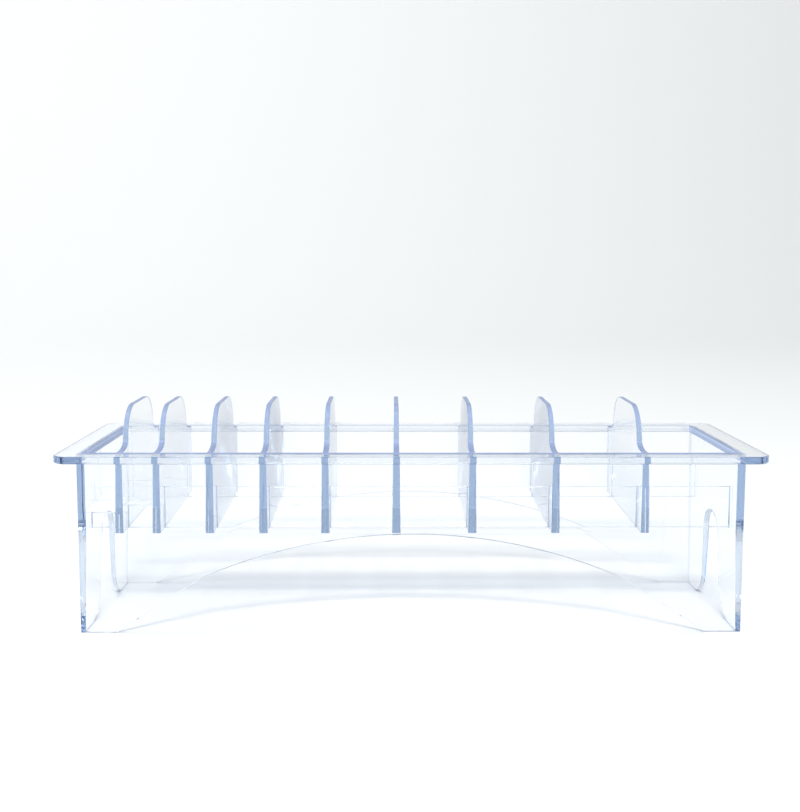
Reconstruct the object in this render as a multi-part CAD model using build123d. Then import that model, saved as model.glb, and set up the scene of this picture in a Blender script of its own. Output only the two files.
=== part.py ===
"""Ten-slot clipper guard rack, moulded in clear plastic.

Units are millimetres and +Z is up. The origin is the middle of the footprint, on the
table under the four legs. The long side is along X and the front of the rack faces -Y.

The rack is an open tray with no floor. Nine dividers make ten slots, narrowest at the
left end. Two rows of low rails near the bottom of the slots carry the guards, and a
wide rim goes all round the top. Four angle-shaped legs leave an arch on every side.
"""
import os

from build123d import *

# Rim
rim_length = 280.0
rim_depth = 98.0
rim_top = 71.8
rim_thickness = 3.0
rim_corner_radius = 6.5
rim_overhang = 8.1
rim_lower_edge_radius = 0.7
rim_upper_edge_radius = 0.4

# Walls of the tray. They lean inwards on the way down, so that the moulding releases.
wall_thickness = 2.7
wall_bottom = 39.7
wall_lean = 0.65
wall_corner_radius = 0.6
slot_corner_radius = 0.5

# Legs
foot_thickness = 1.7
long_arch_clearance = 0.4
long_arch_half_span = 116.9
long_arch_knee_x = 83.8
long_arch_knee_height = 21.7
end_arch_top = 40.2
end_arch_half_width = 11.2
end_arch_crown_height = 10.4
end_arch_flare_top = 12.0
end_arch_flare_lean = 2.0
end_arch_half_span = 25.0

# Dividers, from the narrow end to the wide end
divider_places = [-115.7, -101.0, -80.0, -58.85, -34.35, -6.2, 23.9, 56.95, 92.6]
divider_top = 88.2
divider_bottom_thickness = 3.1
divider_top_thickness = 1.9
tongue_half_width = 26.1
tongue_corner_radius = 14.0
tongue_root_height = 3.0
tongue_root_reach = 9.0

# Rails that carry the guards, one height for each slot
rail_tops = [45.8, 48.8] + [56.4] * 8
rail_middle = 27.4
rail_bottom_thickness = 2.4
rail_top_thickness = 1.6

# Derived sizes
rim_bottom = rim_top - rim_thickness
long_arch_top = wall_bottom - long_arch_clearance
outer_half_length = rim_length / 2 - rim_overhang
outer_half_depth = rim_depth / 2 - rim_overhang
cut_margin = 20.0


def half_length(z):
    """Half the outer length of the tray at height z."""
    return outer_half_length - wall_lean * (rim_bottom - z) / rim_bottom


def half_depth(z):
    """Half the outer depth of the tray at height z."""
    return outer_half_depth - wall_lean * (rim_bottom - z) / rim_bottom


def section(z, inset, corner_radius):
    """Rounded rectangle at height z, inset from the outside of the tray."""
    width = 2 * (half_length(z) - inset)
    depth = 2 * (half_depth(z) - inset)
    return Plane.XY.offset(z) * RectangleRounded(width, depth, corner_radius)


def tapered_block(z_low, z_high, inset_low, inset_high, corner_radius):
    """Solid between two sections of the tray."""
    low = section(z_low, inset_low, corner_radius)
    high = section(z_high, inset_high, corner_radius)
    return loft([low, high], ruled=True)


def prism(outline, plane, thickness):
    """Outline in a plane, extruded by half the thickness to each side."""
    return extrude(plane * outline, thickness / 2, both=True)


def single(shape):
    """The one solid in a shape."""
    return shape.solids()[0]


def side_cutters():
    """Four wedges with mitred ends that part a ring into its four sides."""
    reach = rim_depth / 2
    far_x = outer_half_length + reach
    far_y = outer_half_depth + reach
    near_x = outer_half_length - outer_half_depth
    long_side = Polygon((-far_x, -far_y), (far_x, -far_y), (near_x, 0), (-near_x, 0), align=None)
    short_side = Polygon((-far_x, -far_y), (-near_x, 0), (-far_x, far_y), align=None)
    height = divider_top + cut_margin
    front = extrude(long_side, height)
    left = extrude(short_side, height)
    return {
        "front": front,
        "back": front.mirror(Plane.XZ),
        "left": left,
        "right": left.mirror(Plane.YZ),
    }


def make_rim():
    """Flat rim round the mouth of the tray, in four mitred bars."""
    plate = extrude(
        Plane.XY.offset(rim_bottom) * RectangleRounded(rim_length, rim_depth, rim_corner_radius),
        rim_thickness,
    )
    lower_edges = plate.faces().sort_by(Axis.Z)[0].edges()
    plate = fillet(lower_edges, rim_lower_edge_radius)
    upper_edges = plate.faces().sort_by(Axis.Z)[-1].edges()
    plate = fillet(upper_edges, rim_upper_edge_radius)
    mouth = tapered_block(rim_bottom, rim_top, wall_thickness, wall_thickness, slot_corner_radius)
    ring = plate - mouth
    return {f"rim_{side}": single(ring & cutter) for side, cutter in side_cutters().items()}


def make_walls():
    """Four walls of the tray, under the rim. The end walls take in the crown of the end arch."""
    outside = tapered_block(wall_bottom, rim_bottom, 0, 0, wall_corner_radius)
    inside = tapered_block(
        wall_bottom, rim_bottom, wall_thickness, wall_thickness, slot_corner_radius
    )
    ring = outside - inside
    ring -= prism(end_arch(), Plane.YZ, rim_length + cut_margin)
    return {f"wall_{side}": single(ring & cutter) for side, cutter in side_cutters().items()}


def long_arch():
    """Outline of the wide arch in the front and back, seen along Y."""
    knee = (long_arch_knee_x, long_arch_knee_height)
    foot = (long_arch_half_span, 0)
    ramp_slope = long_arch_knee_height / (long_arch_half_span - long_arch_knee_x)
    below_foot = (long_arch_half_span + cut_margin / ramp_slope, -cut_margin)
    crown = ThreePointArc((-knee[0], knee[1]), (0, long_arch_top), knee)
    right = Line(knee, foot) + Line(foot, below_foot)
    base = Line(below_foot, (-below_foot[0], below_foot[1]))
    left = Line((-below_foot[0], below_foot[1]), (-knee[0], knee[1]))
    return make_face(crown + right + base + left)


def end_arch():
    """Outline of the narrow bell-shaped arch in each end, seen along X."""
    spring = end_arch_top - end_arch_crown_height
    shoulder = (end_arch_half_width, spring)
    flare = (end_arch_half_width + end_arch_flare_lean, end_arch_flare_top)
    foot = (end_arch_half_span, 0)
    drop = (end_arch_flare_lean, end_arch_flare_top - spring)
    crown = EllipticalCenterArc(
        (0, spring), end_arch_half_width, end_arch_crown_height, arc_size=180
    )
    right = Line(shoulder, flare) + TangentArc(flare, foot, tangent=drop)
    left = right.mirror(Plane.YZ)
    base = Polyline(foot, (foot[0], -cut_margin), (-foot[0], -cut_margin), (-foot[0], 0))
    return make_face(crown + right + left + base)


def make_legs():
    """Four angle-shaped legs, one at each corner, thinner towards the foot."""
    outside = tapered_block(0, wall_bottom, 0, 0, wall_corner_radius)
    inside = tapered_block(0, wall_bottom, foot_thickness, wall_thickness, slot_corner_radius)
    skirt = outside - inside
    skirt -= prism(long_arch(), Plane.XZ, rim_depth + cut_margin)
    skirt -= prism(end_arch(), Plane.YZ, rim_length + cut_margin)
    quarter = Box(rim_length, rim_depth, rim_top, align=(Align.MIN, Align.MIN, Align.MIN))
    back_right = skirt & quarter
    back_left = skirt & quarter.mirror(Plane.YZ)
    return {
        "leg_back_right": single(back_right),
        "leg_back_left": single(back_left),
        "leg_front_right": single(skirt & quarter.mirror(Plane.XZ)),
        "leg_front_left": single(skirt & quarter.mirror(Plane.YZ).mirror(Plane.XZ)),
    }


def tongue():
    """Outline of the part of a divider above the rim, seen along X, with its flared roots."""
    width = 2 * tongue_half_width
    height = divider_top - rim_bottom
    blade = Pos(0, rim_bottom + height / 2) * Rectangle(width, height)
    blade = fillet(blade.vertices().group_by(Axis.Y)[-1], tongue_corner_radius)
    block_height = rim_thickness + tongue_root_height
    for side in (-1, 1):
        middle = side * (tongue_half_width + tongue_root_reach / 2)
        block = Pos(middle, rim_bottom + block_height / 2) * Rectangle(
            tongue_root_reach, block_height
        )
        far_end = side * (tongue_half_width + tongue_root_reach)
        bite = Pos(far_end, rim_top + tongue_root_height) * Ellipse(
            tongue_root_reach, tongue_root_height
        )
        blade += block - bite
    return blade


def make_dividers(slot_space):
    """Nine dividers across the tray, each with a rounded tongue above the rim."""
    blade_space = prism(tongue(), Plane.YZ, rim_length)
    envelope = slot_space + blade_space
    low = divider_bottom_thickness / 2
    high = divider_top_thickness / 2
    taper = Polygon(
        (-low, wall_bottom), (low, wall_bottom), (high, divider_top), (-high, divider_top),
        align=None,
    )
    bar = prism(taper, Plane.XZ, rim_depth)
    dividers = {}
    for number, place in enumerate(divider_places, start=1):
        dividers[f"divider_{number}"] = single((Pos(place, 0, 0) * bar) & envelope)
    return dividers


def make_rails(slot_space, dividers):
    """Two rails in each slot, cut to length by the dividers and the end walls."""
    between = slot_space
    for divider in dividers.values():
        between -= divider
    slots = between.solids().sort_by(Axis.X)
    low = rail_bottom_thickness / 2
    rails = {}
    for number, (slot, top) in enumerate(zip(slots, rail_tops), start=1):
        rise = (top - wall_bottom) / (max(rail_tops) - wall_bottom)
        high = low - rise * (rail_bottom_thickness - rail_top_thickness) / 2
        profile = Polygon(
            (rail_middle - low, wall_bottom), (rail_middle + low, wall_bottom),
            (rail_middle + high, top), (rail_middle - high, top),
            align=None,
        )
        bar = prism(profile, Plane.YZ, rim_length)
        rails[f"rail_back_{number}"] = single(slot & bar)
        rails[f"rail_front_{number}"] = single(slot & bar.mirror(Plane.XZ))
    return rails


def build_rack():
    """Every region of the rack, by name."""
    slot_space = tapered_block(
        wall_bottom, rim_top, wall_thickness, wall_thickness, slot_corner_radius
    )
    nodes = {}
    nodes.update(make_rim())
    nodes.update(make_walls())
    nodes.update(make_legs())
    dividers = make_dividers(slot_space)
    nodes.update(dividers)
    nodes.update(make_rails(slot_space, dividers))
    return nodes


def main():
    """Write one STEP file for each region."""
    os.makedirs("parts", exist_ok=True)
    for name, solid in build_rack().items():
        export_step(solid, f"parts/{name}.step")
        size = solid.bounding_box().size
        print(f"{name}: {size.X:.1f} x {size.Y:.1f} x {size.Z:.1f} mm, {solid.volume:.0f} mm3")


main()
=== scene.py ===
"""Looks for the clear clipper guard rack: one seamless moulding, floor, light and camera.

The rack is worked out in millimetres, and becomes metres when a mesh is made. The floor,
the lamps and the room are in metres.
"""

import math

import bmesh
import bpy
from mathutils import Matrix, Vector


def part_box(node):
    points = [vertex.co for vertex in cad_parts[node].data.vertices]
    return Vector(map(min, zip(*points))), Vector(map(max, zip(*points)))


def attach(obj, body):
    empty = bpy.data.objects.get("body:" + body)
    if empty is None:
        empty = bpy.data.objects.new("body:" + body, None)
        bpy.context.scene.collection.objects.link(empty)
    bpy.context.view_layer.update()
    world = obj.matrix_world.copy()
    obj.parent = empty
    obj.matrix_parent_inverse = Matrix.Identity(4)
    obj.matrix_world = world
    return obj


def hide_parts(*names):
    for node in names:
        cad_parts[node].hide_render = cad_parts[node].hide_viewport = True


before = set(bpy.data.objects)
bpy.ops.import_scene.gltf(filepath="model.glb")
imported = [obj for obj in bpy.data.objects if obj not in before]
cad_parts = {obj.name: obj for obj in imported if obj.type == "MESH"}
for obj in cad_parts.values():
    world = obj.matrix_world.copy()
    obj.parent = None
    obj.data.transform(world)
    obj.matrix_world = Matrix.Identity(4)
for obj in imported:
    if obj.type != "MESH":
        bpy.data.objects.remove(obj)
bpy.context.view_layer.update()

scene = bpy.context.scene
MM = 0.001
X_AXIS = (1, 0, 0)
Y_AXIS = (0, 1, 0)
Z_AXIS = (0, 0, 1)


# ---------------------------------------------------------------- sizes, in millimetres
def box_mm(node):
    """Lowest and highest corner of a CAD node, in millimetres."""
    low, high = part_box(node)
    return low / MM, high / MM


def centre_x(node):
    """Middle of a CAD node along X, in millimetres."""
    low, high = box_mm(node)
    return (low.x + high.x) / 2


rim_low, rim_high = box_mm("rim_front")
wall_low = box_mm("wall_front")[0]

# Rim
RIM_HALF_X = box_mm("rim_right")[1].x
RIM_HALF_Y = -rim_low.y
RIM_TOP = rim_high.z
RIM_BOTTOM = rim_low.z
RIM_CORNER = 6.5
RIM_LOWER_EDGE = 0.7
RIM_UPPER_EDGE = 0.4

# Walls and legs
WALL_BOTTOM = wall_low.z
FOOT_HALF_X = 131.25
FOOT_HALF_Y = 40.25
TOP_HALF_X = box_mm("wall_right")[1].x
TOP_HALF_Y = -wall_low.y
WALL = 2.7
FOOT_WALL = 1.7
WALL_CORNER = 0.6
SLOT_CORNER = 0.5

# Dividers and the tongues on them. A root is the flare at a tongue's foot: reach and height.
DIVIDERS = [centre_x(f"divider_{n}") for n in range(1, 10)]
DIVIDER_TOP = box_mm("divider_5")[1].z
DIVIDER_HALF_LOW = 1.55
DIVIDER_HALF_HIGH = 0.95
TONGUE_HALF = 26.1
TONGUE_CORNER = 14.0
TONGUE_CORNER_START = 2
TONGUE_ROOT = (9.0, 3.0)

# Rails
RAIL_TOPS = [box_mm(f"rail_front_{n}")[1].z for n in range(1, 11)]
RAIL_MIDDLE = 27.4
RAIL_HALF_LOW = 1.2
RAIL_HALF_HIGH = 0.8

# Arches
ARCH_TOP = WALL_BOTTOM - 0.4
KNEE = (83.8, 21.7)
LONG_ARCH_FOOT = 116.9
END_ARCH_TOP = 40.2
END_ARCH_HALF = 11.2
END_ARCH_CROWN = 10.4
END_ARCH_FLARE = (13.2, 12.0)
END_ARCH_FOOT = 25.0

# How far each cutter runs past what it cuts, and one solid into another
CAVITY_BELOW = 8.0
CAVITY_ABOVE = 6.0
LONG_ARCH_BELOW = 12.0
LONG_ARCH_REACH = 60.0
END_ARCH_BELOW = 10.0
END_ARCH_REACH = 150.0
BODY_LAP = 1.5
WALL_LAP = 1.2
RAIL_LAP = 0.4

# Straight steps in each curve
CORNER_STEPS = 6
RIM_CORNER_STEPS = 20
RIM_EDGE_STEPS = 4
LONG_ARCH_STEPS = 40
END_ARCH_STEPS = 24
FLARE_STEPS = 12
TONGUE_STEPS = 14
ROOT_STEPS = 12

# Clean-up of the joined mesh, and the small round on its sharp edges
WELD_DISTANCE = 0.002
WELD_ANGLE = math.radians(0.2)
EDGE_RADIUS = 0.22
EDGE_ANGLE = math.radians(30)
EDGE_STEPS = 2
PART_DISTANCE = 0.001

# How the normal of a face tells which way it lies
UPRIGHT = 0.3
SLOPES_UP = 0.1
FACES_UP = 0.5
FLAT = 0.9
ALONG_RAIL = 0.5

# Faces painted with a blue reflection that stands in for the light the clear plastic bends at its
# edges: where they are, and the share on each kind
CROWN_MARGIN = 1.2
MOUTH_LIP = 0.3
LIP_SHARE = 0.65
REAR_SHARE = 0.25
ROOT_SHARE = 0.8
TONGUE_SHARE = 0.7

# Faces that hold back the light on its way to the floor: the share on each kind
NARROW_FACE = 3.3
RAIL_TOP_MARGIN = 0.1
NARROW_SHADE = 1.0
RIM_SHADE = 0.12
RAIL_SHADE = 0.22
RAIL_EDGE_SHADE = 0.35


# ---------------------------------------------------------------- solids
def add_object(name, data):
    """Object with the given data, linked to the scene."""
    obj = bpy.data.objects.new(name, data)
    scene.collection.objects.link(obj)
    return obj


def new_object(name, verts, faces):
    """Mesh object from points in millimetres."""
    mesh = bpy.data.meshes.new(name)
    mesh.from_pydata([Vector(v) * MM for v in verts], [], faces)
    bm = bmesh.new()
    bm.from_mesh(mesh)
    bmesh.ops.recalc_face_normals(bm, faces=bm.faces)
    bm.to_mesh(mesh)
    bm.free()
    return add_object(name, mesh)


def loft(name, rings):
    """Closed solid through rings of points, all of one length."""
    count = len(rings[0])
    verts = [v for ring in rings for v in ring]
    faces = []
    for level in range(len(rings) - 1):
        for i in range(count):
            j = (i + 1) % count
            a = level * count
            b = a + count
            faces.append((a + i, a + j, b + j, b + i))
    last = (len(rings) - 1) * count
    faces.append(tuple(range(count))[::-1])
    faces.append(tuple(last + i for i in range(count)))
    return new_object(name, verts, faces)


def rounded_ring(half_x, half_y, radius, z, steps=CORNER_STEPS):
    """Rounded rectangle at height z."""
    ring = []
    for sx, sy, start in ((1, 1, 0), (-1, 1, 90), (-1, -1, 180), (1, -1, 270)):
        for k in range(steps + 1):
            a = math.radians(start + 90 * k / steps)
            x = sx * (half_x - radius) + radius * math.cos(a)
            y = sy * (half_y - radius) + radius * math.sin(a)
            ring.append((x, y, z))
    return ring


def half_x_at(z):
    """Half the outer length of the tray at height z."""
    return FOOT_HALF_X + (TOP_HALF_X - FOOT_HALF_X) * (z / RIM_BOTTOM)


def half_y_at(z):
    """Half the outer depth of the tray at height z."""
    return FOOT_HALF_Y + (TOP_HALF_Y - FOOT_HALF_Y) * (z / RIM_BOTTOM)


def shell_ring(z, inset, radius):
    """Section of the tray at height z, inset from its outside."""
    return rounded_ring(half_x_at(z) - inset, half_y_at(z) - inset, radius, z)


def arc(centre, radius_a, radius_b, start, end, steps):
    """Points on an ellipse, angles in degrees."""
    points = []
    for k in range(steps + 1):
        a = math.radians(start + (end - start) * k / steps)
        points.append((centre[0] + radius_a * math.cos(a), centre[1] + radius_b * math.sin(a)))
    return points


def through_y(name, outline, reach):
    """Outline in X and Z, run through the whole depth."""
    front = [(u, -reach, v) for u, v in outline]
    back = [(u, reach, v) for u, v in outline]
    return loft(name, [front, back])


def through_x(name, outline, reach):
    """Outline in Y and Z, run through the whole length."""
    left = [(-reach, u, v) for u, v in outline]
    right = [(reach, u, v) for u, v in outline]
    return loft(name, [left, right])


def rim_plate():
    """Rim as a full plate, with both of its outer edges rounded."""
    quarter = [math.radians(90 * k / RIM_EDGE_STEPS) for k in range(RIM_EDGE_STEPS + 1)]
    lower = [
        (RIM_LOWER_EDGE * (1 - math.sin(a)), RIM_BOTTOM + RIM_LOWER_EDGE * (1 - math.cos(a)))
        for a in quarter
    ]
    upper = [
        (RIM_UPPER_EDGE * (1 - math.cos(a)), RIM_TOP - RIM_UPPER_EDGE * (1 - math.sin(a)))
        for a in quarter
    ]
    rings = [
        rounded_ring(
            RIM_HALF_X - inset, RIM_HALF_Y - inset, RIM_CORNER - inset, z, RIM_CORNER_STEPS
        )
        for inset, z in lower + upper
    ]
    return loft("rim_plate", rings)


def cavity():
    """Inside of the tray and legs. The walls thin out from the tray's bottom to the feet."""
    below = -CAVITY_BELOW
    slope = (WALL - FOOT_WALL) / WALL_BOTTOM
    rings = [
        shell_ring(below, FOOT_WALL + slope * below, SLOT_CORNER),
        shell_ring(WALL_BOTTOM, WALL, SLOT_CORNER),
        shell_ring(RIM_TOP + CAVITY_ABOVE, WALL, SLOT_CORNER),
    ]
    return loft("cavity", rings)


def long_arch_outline():
    """Wide arch of the front and back: a shallow curve between two straight ends."""
    rise = ARCH_TOP - KNEE[1]
    radius = (KNEE[0] ** 2 + rise ** 2) / (2 * rise)
    half_angle = math.degrees(math.asin(KNEE[0] / radius))
    start = 90 - half_angle
    end = 90 + half_angle
    crown = arc((0, ARCH_TOP - radius), radius, radius, start, end, LONG_ARCH_STEPS)
    ramp = KNEE[1] / (LONG_ARCH_FOOT - KNEE[0])
    low = (LONG_ARCH_FOOT + LONG_ARCH_BELOW / ramp, -LONG_ARCH_BELOW)
    return [low] + crown + [(-low[0], low[1])]


def end_arch_outline():
    """Bell-shaped arch of the ends: an elliptical crown over two flared feet."""
    spring = END_ARCH_TOP - END_ARCH_CROWN
    crown = arc((0, spring), END_ARCH_HALF, END_ARCH_CROWN, 0, 180, END_ARCH_STEPS)
    tangent = Vector((END_ARCH_FLARE[0] - END_ARCH_HALF, END_ARCH_FLARE[1] - spring)).normalized()
    normal = Vector((-tangent.y, tangent.x))
    start = Vector(END_ARCH_FLARE)
    chord = Vector((END_ARCH_FOOT, 0)) - start
    radius = chord.length_squared / (2 * chord.dot(normal))
    centre = start + normal * radius
    a0 = math.degrees(math.atan2(start.y - centre.y, start.x - centre.x)) % 360
    a1 = math.degrees(math.atan2(-centre.y, END_ARCH_FOOT - centre.x)) % 360
    flare = arc(centre, radius, radius, a0, a1, FLARE_STEPS)
    right = [(END_ARCH_FOOT, -END_ARCH_BELOW)] + flare[::-1]
    left = [(-u, v) for u, v in right[::-1]]
    return right + crown + left


def divider(name, place):
    """Tapered divider with its tongue. Its ends run a little way into the walls."""
    half_y = half_y_at(WALL_BOTTOM) - WALL + WALL_LAP
    centre = (TONGUE_HALF - TONGUE_CORNER, DIVIDER_TOP - TONGUE_CORNER)
    corner = arc(
        centre, TONGUE_CORNER, TONGUE_CORNER, TONGUE_CORNER_START, 90, TONGUE_STEPS
    )
    root_centre = (TONGUE_HALF + TONGUE_ROOT[0], RIM_TOP + TONGUE_ROOT[1])
    root = arc(root_centre, *TONGUE_ROOT, 270, 180, ROOT_STEPS)
    right = [(half_y, WALL_BOTTOM), (half_y, RIM_TOP)] + root + corner
    outline = right + [(-u, v) for u, v in right[::-1]]
    slope = (DIVIDER_HALF_HIGH - DIVIDER_HALF_LOW) / (DIVIDER_TOP - WALL_BOTTOM)

    def face(side):
        return [
            (place + side * (DIVIDER_HALF_LOW + slope * (v - WALL_BOTTOM)), u, v)
            for u, v in outline
        ]

    return loft(name, [face(-1), face(1)])


def rail(name, x_low, x_high, top, side):
    """Tapered rail through one or more slots, at the front (-1) or the back (1)."""
    share = (top - WALL_BOTTOM) / (max(RAIL_TOPS) - WALL_BOTTOM)
    high = RAIL_HALF_LOW - share * (RAIL_HALF_LOW - RAIL_HALF_HIGH)
    middle = side * RAIL_MIDDLE
    outline = [
        (middle - RAIL_HALF_LOW, WALL_BOTTOM),
        (middle + RAIL_HALF_LOW, WALL_BOTTOM),
        (middle + high, top),
        (middle - high, top),
    ]
    rings = [[(x, u, v) for u, v in outline] for x in (x_low, x_high)]
    return loft(name, rings)


def combine(target, other, operation):
    """Boolean of two closed solids; the second one is used up."""
    modifier = target.modifiers.new(operation, "BOOLEAN")
    modifier.operation = operation
    modifier.solver = "MANIFOLD"
    modifier.object = other
    depsgraph = bpy.context.evaluated_depsgraph_get()
    mesh = bpy.data.meshes.new_from_object(target.evaluated_get(depsgraph))
    target.modifiers.clear()
    target.data = mesh
    bpy.data.objects.remove(other)


def make_moulding():
    """The whole rack as one closed mesh."""
    body = loft(
        "rack_moulding",
        [shell_ring(z, 0, WALL_CORNER) for z in (0, RIM_BOTTOM + BODY_LAP)],
    )
    combine(body, rim_plate(), "UNION")
    combine(body, cavity(), "DIFFERENCE")
    long_arch = through_y("long_arch", long_arch_outline(), LONG_ARCH_REACH)
    combine(body, long_arch, "DIFFERENCE")
    end_arch = through_x("end_arch", end_arch_outline(), END_ARCH_REACH)
    combine(body, end_arch, "DIFFERENCE")
    for number, place in enumerate(DIVIDERS, start=1):
        combine(body, divider(f"blade_{number}", place), "UNION")
    inner_x = half_x_at(WALL_BOTTOM) - WALL + WALL_LAP
    spans = [
        (-inner_x, DIVIDERS[0] + RAIL_LAP, RAIL_TOPS[0]),
        (DIVIDERS[0] - RAIL_LAP, DIVIDERS[1] + RAIL_LAP, RAIL_TOPS[1]),
        (DIVIDERS[1] - RAIL_LAP, inner_x, RAIL_TOPS[2]),
    ]
    for side in (-1, 1):
        for number, (low, high, top) in enumerate(spans):
            combine(body, rail(f"rail_{number}", low, high, top, side), "UNION")
    return body


# ---------------------------------------------------------------- kinds of face
def is_upright(face):
    """Whether a face stands up, or nearly so."""
    return abs(face.normal.z) < UPRIGHT


def crown_share(face):
    """How much painted blue reflection a face gets: the mouth's edge and the tops of the
    dividers.
    """
    middle = face.calc_center_median() / MM
    if middle.z < RIM_BOTTOM + MOUTH_LIP or abs(middle.y) > TOP_HALF_Y + CROWN_MARGIN:
        return 0.0
    if is_upright(face) and abs(middle.x) > TOP_HALF_X - WALL - MOUTH_LIP:
        faces_inwards = face.normal.x * middle.x < 0
        return LIP_SHARE if faces_inwards else 0.0
    if abs(middle.x) > TOP_HALF_X - WALL + CROWN_MARGIN or middle.z < RIM_TOP - MOUTH_LIP:
        return 0.0
    if middle.y > TOP_HALF_Y - WALL - CROWN_MARGIN:
        return REAR_SHARE
    if middle.z < RIM_TOP + TONGUE_ROOT[1]:
        return ROOT_SHARE if face.normal.z > SLOPES_UP else 0.0
    return TONGUE_SHARE if face.normal.z > FACES_UP else 0.0


def shade_share(face):
    """How far a face holds back the light that falls through it to the floor, from 0 to 1."""
    middle = face.calc_center_median() / MM
    thin = 2 * face.calc_area() / face.calc_perimeter() < NARROW_FACE * MM
    near_rail = abs(abs(middle.y) - RAIL_MIDDLE) < 2 * RAIL_HALF_LOW
    in_rail = near_rail and middle.z < max(RAIL_TOPS) + RAIL_TOP_MARGIN
    if in_rail and abs(face.normal.x) < ALONG_RAIL:
        return RAIL_EDGE_SHADE if thin else RAIL_SHADE
    if thin:
        return NARROW_SHADE
    on_rim = middle.z > RIM_BOTTOM - MOUTH_LIP and abs(face.normal.z) > FLAT
    return RIM_SHADE if on_rim else 0.0


def soften_edges(bm):
    """Small rounds on every sharp edge, inside and outside, as a mould leaves them."""
    bmesh.ops.remove_doubles(bm, verts=bm.verts, dist=WELD_DISTANCE * MM)
    bmesh.ops.dissolve_limit(
        bm, angle_limit=WELD_ANGLE, verts=bm.verts, edges=bm.edges, delimit=set()
    )
    sharp = [e for e in bm.edges if len(e.link_faces) == 2 and e.calc_face_angle() > EDGE_ANGLE]
    bmesh.ops.bevel(
        bm, geom=sharp, offset=EDGE_RADIUS * MM, offset_type="OFFSET", segments=EDGE_STEPS,
        profile=0.5, affect="EDGES", clamp_overlap=False,
    )
    bmesh.ops.recalc_face_normals(bm, faces=bm.faces)


def part_faces(bm):
    """Cut the faces along the lines where one kind ends and the next begins."""
    end_line = TOP_HALF_X - WALL + CROWN_MARGIN
    mouth_line = TOP_HALF_Y + CROWN_MARGIN
    cuts = [
        (X_AXIS, end_line),
        (X_AXIS, -end_line),
        (Y_AXIS, mouth_line),
        (Y_AXIS, -mouth_line),
        (Y_AXIS, TOP_HALF_Y - WALL - CROWN_MARGIN),
        (Z_AXIS, RIM_BOTTOM + MOUTH_LIP),
    ]
    for normal, place in cuts:
        bmesh.ops.bisect_plane(
            bm, geom=bm.verts[:] + bm.edges[:] + bm.faces[:], dist=PART_DISTANCE * MM,
            plane_co=Vector(normal) * place * MM, plane_no=normal,
        )


def finish_mesh(obj):
    """Soften the edges, and mark every face for the material."""
    bm = bmesh.new()
    bm.from_mesh(obj.data)
    soften_edges(bm)
    shade = bm.faces.layers.float.new("shade")
    for face in bm.faces:
        face[shade] = shade_share(face)
    part_faces(bm)
    crown = bm.faces.layers.float.new("crown")
    lip = bm.faces.layers.float.new("lip")
    for face in bm.faces:
        face[crown] = crown_share(face)
        face[lip] = 1.0 if is_upright(face) else 0.0
    bm.to_mesh(obj.data)
    bm.free()


moulding = make_moulding()
finish_mesh(moulding)
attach(moulding, "root")
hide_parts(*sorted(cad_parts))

# ---------------------------------------------------------------- materials
WHITE = (1.0, 1.0, 1.0, 1.0)
PLASTIC_IOR = 1.57
DEPTH_TINT = (0.10, 0.345, 0.65, 1.0)
DEPTH_DENSITY = 15.6
# Painted reflection: flat blue colours for the crown faces, brighter on upright faces, standing
# in for light the plastic bends there.
CROWN_PAINTED_REFLECTION = (0.28, 0.345, 0.53, 1.0)
LIP_PAINTED_REFLECTION = (0.52, 0.64, 0.92, 1.0)
THROUGH_OPEN = (0.985, 0.988, 0.993, 1.0)
THROUGH_SHADED = (0.22, 0.26, 0.36, 1.0)
PAPER_COLOUR = (0.905, 0.925, 0.93, 1.0)
PAPER_ROUGHNESS = 0.9


def new_material(name):
    """Material with its node tree and the shader that it starts with."""
    material = bpy.data.materials.new(name)
    material.use_nodes = True
    tree = material.node_tree
    return material, tree, tree.nodes["Principled BSDF"]


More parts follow.
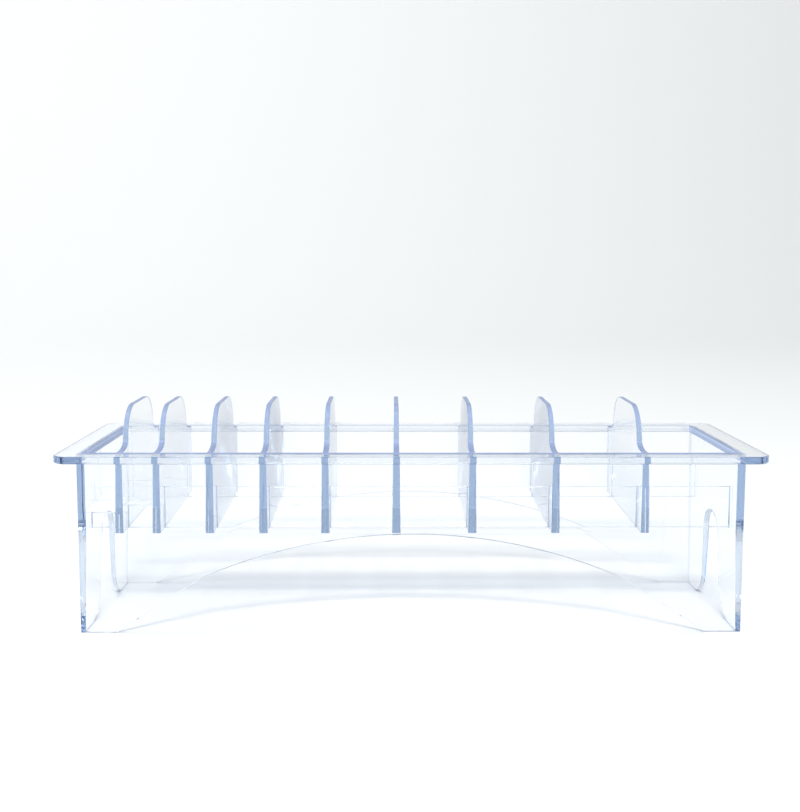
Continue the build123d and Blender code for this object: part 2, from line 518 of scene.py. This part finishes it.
def clear_plastic():
    """Clear plastic, tinted by depth, with a painted blue reflection on the crown faces. Rays
    from lamps and floor pass straight through it.
    """
    material, tree, glass = new_material("clear_plastic")
    nodes = tree.nodes
    links = tree.links

    def face_value(name):
        node = nodes.new("ShaderNodeAttribute")
        node.attribute_name = name
        return node.outputs["Fac"]

    def colour_between(factor, low, high):
        node = nodes.new("ShaderNodeMix")
        node.data_type = "RGBA"
        node.inputs["A"].default_value = low
        node.inputs["B"].default_value = high
        links.new(factor, node.inputs["Factor"])
        return node.outputs["Result"]

    def shader_between(factor, low, high):
        node = nodes.new("ShaderNodeMixShader")
        links.new(factor, node.inputs["Fac"])
        links.new(low, node.inputs[1])
        links.new(high, node.inputs[2])
        return node.outputs["Shader"]

    glass.inputs["Base Color"].default_value = WHITE
    glass.inputs["Roughness"].default_value = 0.0
    glass.inputs["IOR"].default_value = PLASTIC_IOR
    glass.inputs["Transmission Weight"].default_value = 1.0

    # Painted reflection: a flat blue diffuse colour on the crown faces, brighter on upright ones,
    # in place of the plastic's own refraction there.
    painted_reflection = nodes.new("ShaderNodeBsdfDiffuse")
    links.new(colour_between(face_value("lip"), CROWN_PAINTED_REFLECTION, LIP_PAINTED_REFLECTION), painted_reflection.inputs["Color"])
    seen = shader_between(face_value("crown"), glass.outputs["BSDF"], painted_reflection.outputs["BSDF"])

    through = nodes.new("ShaderNodeBsdfTransparent")
    passed = colour_between(face_value("shade"), THROUGH_OPEN, THROUGH_SHADED)
    links.new(passed, through.inputs["Color"])
    path = nodes.new("ShaderNodeLightPath")
    either = nodes.new("ShaderNodeMath")
    either.operation = "MAXIMUM"
    links.new(path.outputs["Is Shadow Ray"], either.inputs[0])
    links.new(path.outputs["Is Diffuse Ray"], either.inputs[1])
    surface = shader_between(either.outputs["Value"], seen, through.outputs["BSDF"])

    absorb = nodes.new("ShaderNodeVolumeAbsorption")
    absorb.inputs["Color"].default_value = DEPTH_TINT
    absorb.inputs["Density"].default_value = DEPTH_DENSITY
    output = nodes["Material Output"]
    links.new(surface, output.inputs["Surface"])
    links.new(absorb.outputs["Volume"], output.inputs["Volume"])
    return material


def white_paper():
    """Plain matt paper."""
    material, _, shader = new_material("white_paper")
    shader.inputs["Base Color"].default_value = PAPER_COLOUR
    shader.inputs["Roughness"].default_value = PAPER_ROUGHNESS
    return material


moulding.data.materials.clear()
moulding.data.materials.append(clear_plastic())

# ---------------------------------------------------------------- floor and backdrop, in metres
SWEEP_HALF_WIDTH = 6.0
SWEEP_FRONT = -5.0
SWEEP_BEND = 1.6
SWEEP_RADIUS = 0.9
SWEEP_HEIGHT = 5.0
SWEEP_STEPS = 12


def make_sweep():
    """Sheet of paper that runs along the floor and curves up behind the rack."""
    profile = [(SWEEP_FRONT, 0.0)]
    for k in range(SWEEP_STEPS + 1):
        a = math.radians(90 * k / SWEEP_STEPS)
        profile.append((
            SWEEP_BEND + SWEEP_RADIUS * math.sin(a), SWEEP_RADIUS * (1 - math.cos(a))
        ))
    profile.append((SWEEP_BEND + SWEEP_RADIUS, SWEEP_HEIGHT))
    verts = [(x, y, z) for y, z in profile for x in (-SWEEP_HALF_WIDTH, SWEEP_HALF_WIDTH)]
    faces = [(2 * k, 2 * k + 1, 2 * k + 3, 2 * k + 2) for k in range(len(profile) - 1)]
    mesh = bpy.data.meshes.new("paper_sweep")
    mesh.from_pydata(verts, [], faces)
    for polygon in mesh.polygons:
        polygon.use_smooth = True
    return add_object("paper_sweep", mesh)


sweep = make_sweep()
sweep.data.materials.append(white_paper())

# ---------------------------------------------------------------- light, in metres and watts
ROOM_SEEN = 1.0
ROOM_ON_PAPER = 0.5
KEY_SIZE = (0.55, 0.13)
KEY_WATTS = 27.0
KEY_DISTANCE = 1.8
KEY_ELEVATION = math.radians(38)
KEY_PLACE = Vector((0, -math.cos(KEY_ELEVATION), math.sin(KEY_ELEVATION))) * KEY_DISTANCE
KEY_AIM = Vector((0, 0, 0))
FILL_SIZE = (2.4, 1.2)
FILL_WATTS = 35.0
FILL_PLACE = Vector((-1.6, 0.6, 2.6))
FILL_AIM = Vector((-0.5, SWEEP_BEND + SWEEP_RADIUS, 0.9))


def light_room():
    """White room, dimmer for what it sheds on the paper than for what is seen of it."""
    world = bpy.data.worlds.new("studio")
    scene.world = world
    world.use_nodes = True
    nodes = world.node_tree.nodes
    links = world.node_tree.links
    background = nodes["Background"]
    background.inputs["Color"].default_value = WHITE
    path = nodes.new("ShaderNodeLightPath")
    strength = nodes.new("ShaderNodeMapRange")
    strength.inputs["To Min"].default_value = ROOM_SEEN
    strength.inputs["To Max"].default_value = ROOM_ON_PAPER
    links.new(path.outputs["Is Diffuse Ray"], strength.inputs["Value"])
    links.new(strength.outputs["Result"], background.inputs["Strength"])


def softbox(name, size, watts, place, aim):
    """Rectangular area lamp, turned to its aim."""
    data = bpy.data.lights.new(name, "AREA")
    data.shape = "RECTANGLE"
    data.size, data.size_y = size
    data.energy = watts
    lamp = add_object(name, data)
    lamp.location = place
    lamp.rotation_euler = (place - aim).to_track_quat("Z", "Y").to_euler()


light_room()
softbox("key", KEY_SIZE, KEY_WATTS, KEY_PLACE, KEY_AIM)
softbox("backdrop_fill", FILL_SIZE, FILL_WATTS, FILL_PLACE, FILL_AIM)

# ---------------------------------------------------------------- camera
CAMERA_PLACE = Vector((-9.002, -504.827, 148.057)) * MM
PITCH = 0.06898
YAW = 0.01262
ROLL = 0.00223
SENSOR_WIDTH = 36.0
LENS = 53.581
LENS_SHIFT = (-0.0057, -0.08064)
CLIP_RANGE = (0.01, 50.0)


def make_camera():
    """Camera in front of the rack and a little above it, with its lens shifted."""
    data = bpy.data.cameras.new("camera")
    camera = add_object("camera", data)
    scene.camera = camera
    data.sensor_fit = "HORIZONTAL"
    data.sensor_width = SENSOR_WIDTH
    data.lens = LENS
    data.shift_x, data.shift_y = LENS_SHIFT
    data.clip_start, data.clip_end = CLIP_RANGE
    forward = Vector((
        math.sin(YAW) * math.cos(PITCH), math.cos(YAW) * math.cos(PITCH), -math.sin(PITCH)
    ))
    right = Vector((math.cos(YAW), -math.sin(YAW), 0))
    up = right.cross(forward)
    right_rolled = math.cos(ROLL) * right + math.sin(ROLL) * up
    up_rolled = math.cos(ROLL) * up - math.sin(ROLL) * right
    turn = Matrix((right_rolled, up_rolled, -forward)).transposed()
    camera.matrix_world = Matrix.Translation(CAMERA_PLACE) @ turn.to_4x4()


make_camera()

# A ray crosses many clear faces on its way through the rack.
LIGHT_BOUNCES = 96
scene.view_settings.view_transform = "Standard"
scene.cycles.max_bounces = LIGHT_BOUNCES
scene.cycles.transmission_bounces = LIGHT_BOUNCES
scene.cycles.glossy_bounces = LIGHT_BOUNCES
scene.cycles.blur_glossy = 0.0
